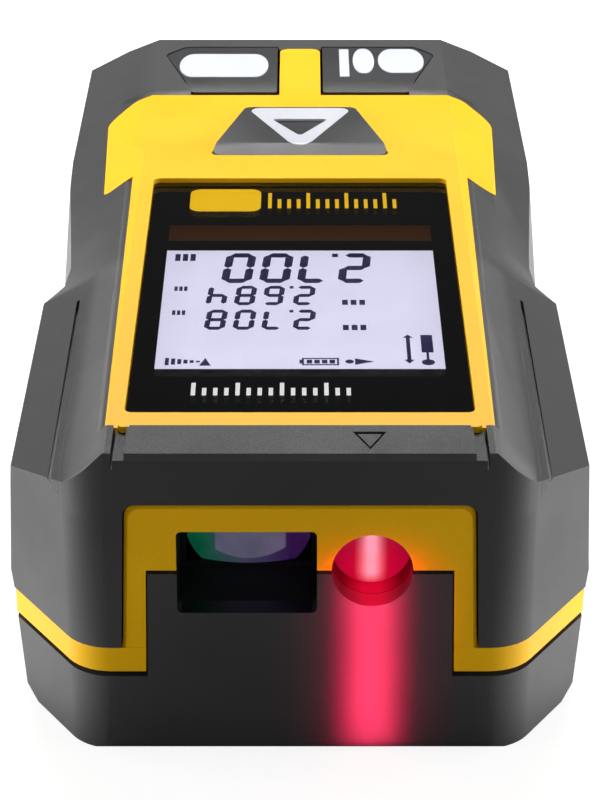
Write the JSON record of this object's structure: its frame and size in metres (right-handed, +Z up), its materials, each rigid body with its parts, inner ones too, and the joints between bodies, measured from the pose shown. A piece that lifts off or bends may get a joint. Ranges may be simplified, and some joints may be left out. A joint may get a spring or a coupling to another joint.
{
  "type": "laser distance meter",
  "caption": "Handheld laser distance meter: rubber-armoured case with a lit display, a measuring button, two keys, a laser port and a receiver port in the nose, and a sliding battery door.",
  "frame": {"origin": "on the flat underside, at the middle of the outline", "axes": "+Z up through the display, +Y from the nose towards the tail, +X to the right when looking at the nose with the display on top; the laser leaves along -Y"},
  "size_m": [0.0572, 0.115, 0.0327],
  "materials": {
    "armour": "fine moulded grain",
    "yellow_shell": "satin moulded",
    "dark_shell": "satin moulded",
    "seal": "matt",
    "door": "satin moulded",
    "plate": "satin, blank",
    "window": "polished",
    "mask": "gloss print",
    "gasket": "foam",
    "lcd": "polished, lit from behind",
    "backlight": "clear, diffusing",
    "holder": "moulded",
    "connector": "striped elastomer",
    "button": "satin",
    "white_mark": "two-shot moulded",
    "legend": "printed",
    "mat": "silicone",
    "dome": "bright",
    "board": "solder mask",
    "chip": "moulded epoxy",
    "buzzer_case": "moulded",
    "chassis": "die cast, dark",
    "hood": "matt black",
    "lens": "coated",
    "laser_glass": "tinted",
    "sensor_can": "gold flash",
    "shield": "tin plate",
    "flex": "polyimide film",
    "barrel": "turned",
    "ring": "black anodised",
    "cell_wrap": "plain wrap",
    "contact": "nickel plate",
    "screw": "zinc plate"
  },
  "bodies": {
    "case": {"upper_housing": "armour", "keypad_deck": "yellow_shell", "nose_band": "yellow_shell", "lower_shell": "dark_shell", "housing_seal": "seal", "rating_plate": "plate", "display_window": "window", "display_mask": "mask", "window_gasket": "gasket", "lcd_glass": "lcd", "lcd_backlight": "backlight", "lcd_holder": "holder", "lcd_connector": "connector", "keypad_mat": "mat", "dome_switches": "dome", "main_board": "board", "board_chips": "chip", "buzzer": "buzzer_case", "optics_chassis": "chassis", "receiver_hood": "hood", "receiver_lens": "lens", "photodiode": "sensor_can", "receiver_board": "board", "receiver_shield": "shield", "sensor_flex": "flex", "laser_barrel": "barrel", "laser_window": "laser_glass", "collimator_lens": "lens", "lens_ring": "ring", "laser_diode": "sensor_can", "battery_left": "cell_wrap", "battery_right": "cell_wrap", "battery_contacts": "contact", "battery_springs": "contact", "case_screws": "screw", "board_screws": "screw"},
    "measure_button": {"measure_button": "button", "measure_button_mark": "white_mark"},
    "left_key": {"left_key": "button", "left_key_mark": "legend"},
    "right_key": {"right_key": "button", "right_key_mark": "legend"},
    "battery_door": {"battery_door": "door"}
  },
  "joints": [
    {"name": "measure_button_press", "type": "slide", "parent": "case", "child": "measure_button", "axis": [0, 0, -1], "range_m": [0, 0.0007], "stiffness_N_per_m": 1500},
    {"name": "left_key_press", "type": "slide", "parent": "case", "child": "left_key", "axis": [0, 0, -1], "range_m": [0, 0.0007], "stiffness_N_per_m": 1500},
    {"name": "right_key_press", "type": "slide", "parent": "case", "child": "right_key", "axis": [0, 0, -1], "range_m": [0, 0.0007], "stiffness_N_per_m": 1500},
    {"name": "battery_door_slide", "type": "slide", "parent": "case", "child": "battery_door", "axis": [0, 1, 0], "range_m": [0, 0.06]}
  ]
}
